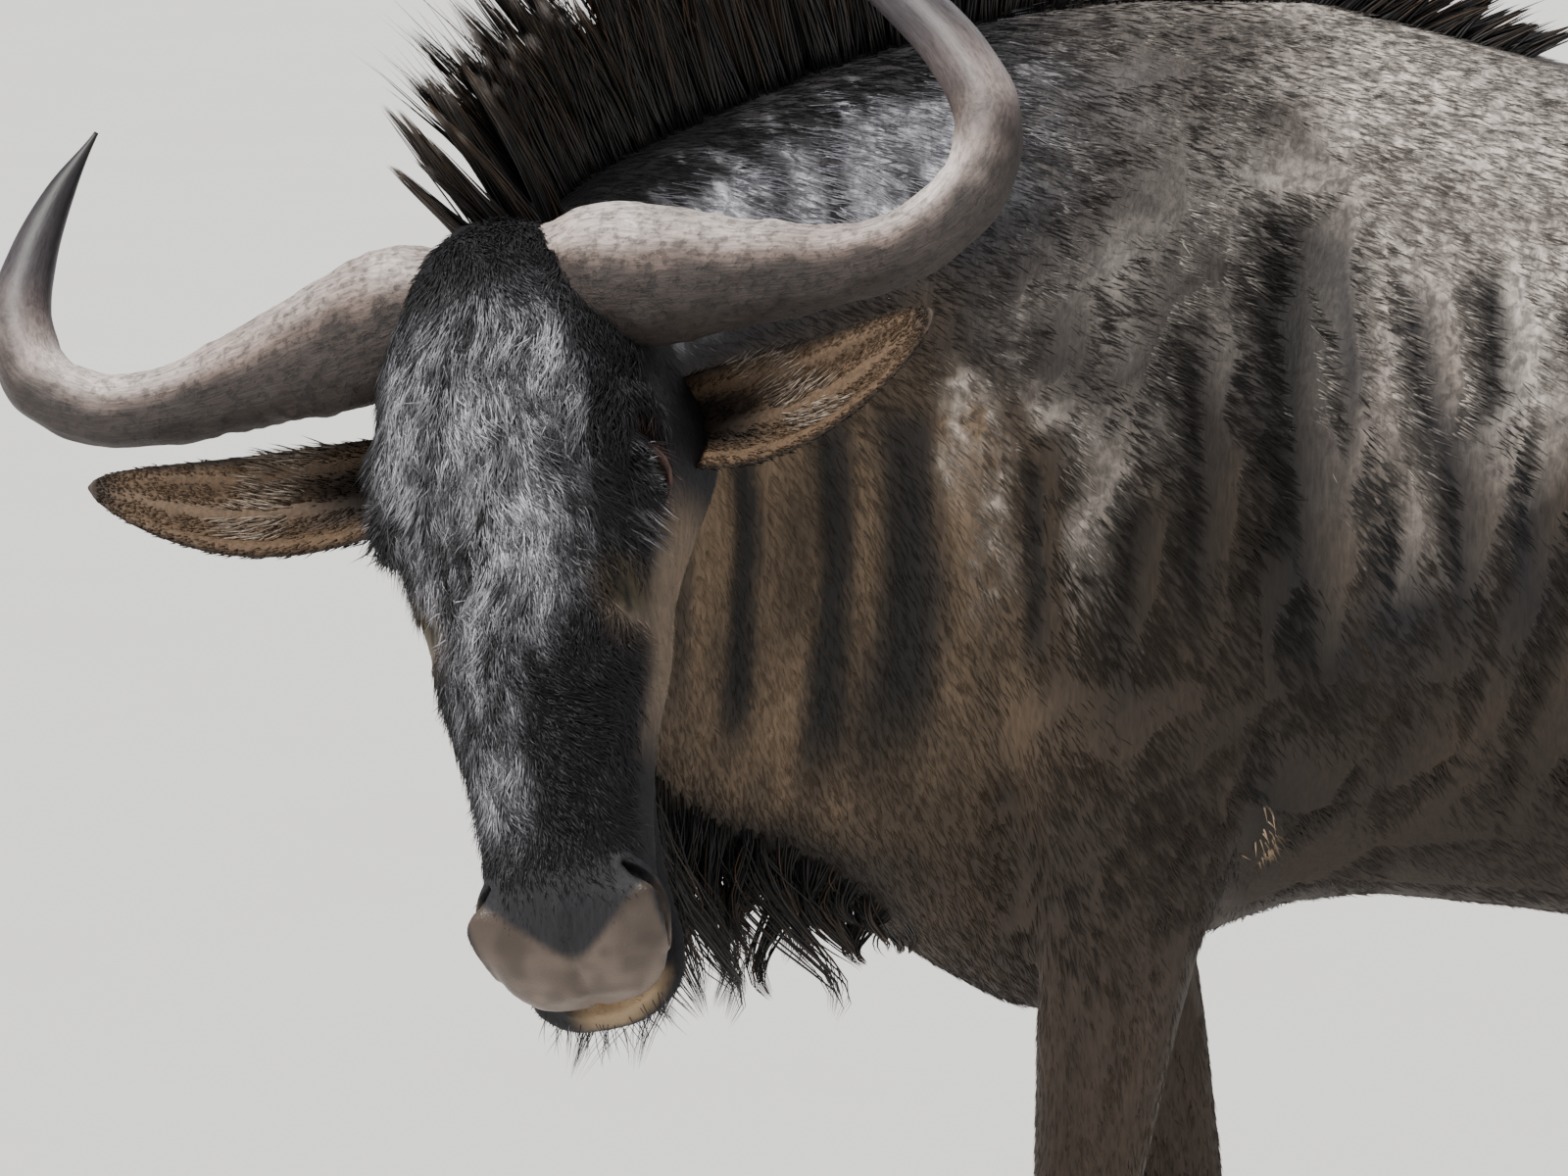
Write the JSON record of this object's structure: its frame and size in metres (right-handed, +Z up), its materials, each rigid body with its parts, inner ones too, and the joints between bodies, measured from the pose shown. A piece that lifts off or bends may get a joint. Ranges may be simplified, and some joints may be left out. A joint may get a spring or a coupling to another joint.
{
  "type": "wildebeest",
  "caption": "Life-size blue wildebeest bull standing still, head lowered and turned to its left, with curved horns, upright black mane and beard.",
  "frame": {"origin": "middle of the whole animal's box in plan, on the ground that the hooves stand on", "axes": "+X toward the tail, -X toward the head, -Y toward the animal's left side, +Z up"},
  "size_m": [2.0278, 0.8244, 1.5502],
  "materials": {
    "body_hide": "short grey-brown hair over hide, soft sheen, dark upright stripes",
    "neck_hide": "short brown hair over hide with darker upright folds",
    "face_hide": "black short curly hair with a grey sheen",
    "leg_hide": "very short dark brown hair",
    "ear_hide": "thin brown hide with fine hair",
    "long_hair": "coarse black hair in locks",
    "horn_sheath": "grey-brown horn, rough at the base and smooth and dark at the tip",
    "hoof_horn": "dark horn, satin",
    "eye_wet": "very dark brown, wet gloss"
  },
  "bodies": {
    "root": {"ear_left": "ear_hide", "ear_right": "ear_hide", "eye_left": "eye_wet", "eye_right": "eye_wet", "head": "face_hide", "hoof_front_left_inner": "hoof_horn", "hoof_front_left_outer": "hoof_horn", "hoof_front_right_inner": "hoof_horn", "hoof_front_right_outer": "hoof_horn", "hoof_rear_left_inner": "hoof_horn", "hoof_rear_left_outer": "hoof_horn", "hoof_rear_right_inner": "hoof_horn", "hoof_rear_right_outer": "hoof_horn", "horn_left": "horn_sheath", "horn_right": "horn_sheath", "leg_front_left_lower": "leg_hide", "leg_front_left_upper": "leg_hide", "leg_front_right_lower": "leg_hide", "leg_front_right_upper": "leg_hide", "leg_rear_left_lower": "leg_hide", "leg_rear_left_upper": "leg_hide", "leg_rear_right_lower": "leg_hide", "leg_rear_right_upper": "leg_hide", "neck": "neck_hide", "rump": "body_hide", "tail_dock": "body_hide", "tail_tuft": "long_hair", "torso": "body_hide"}
  },
  "joints": []
}
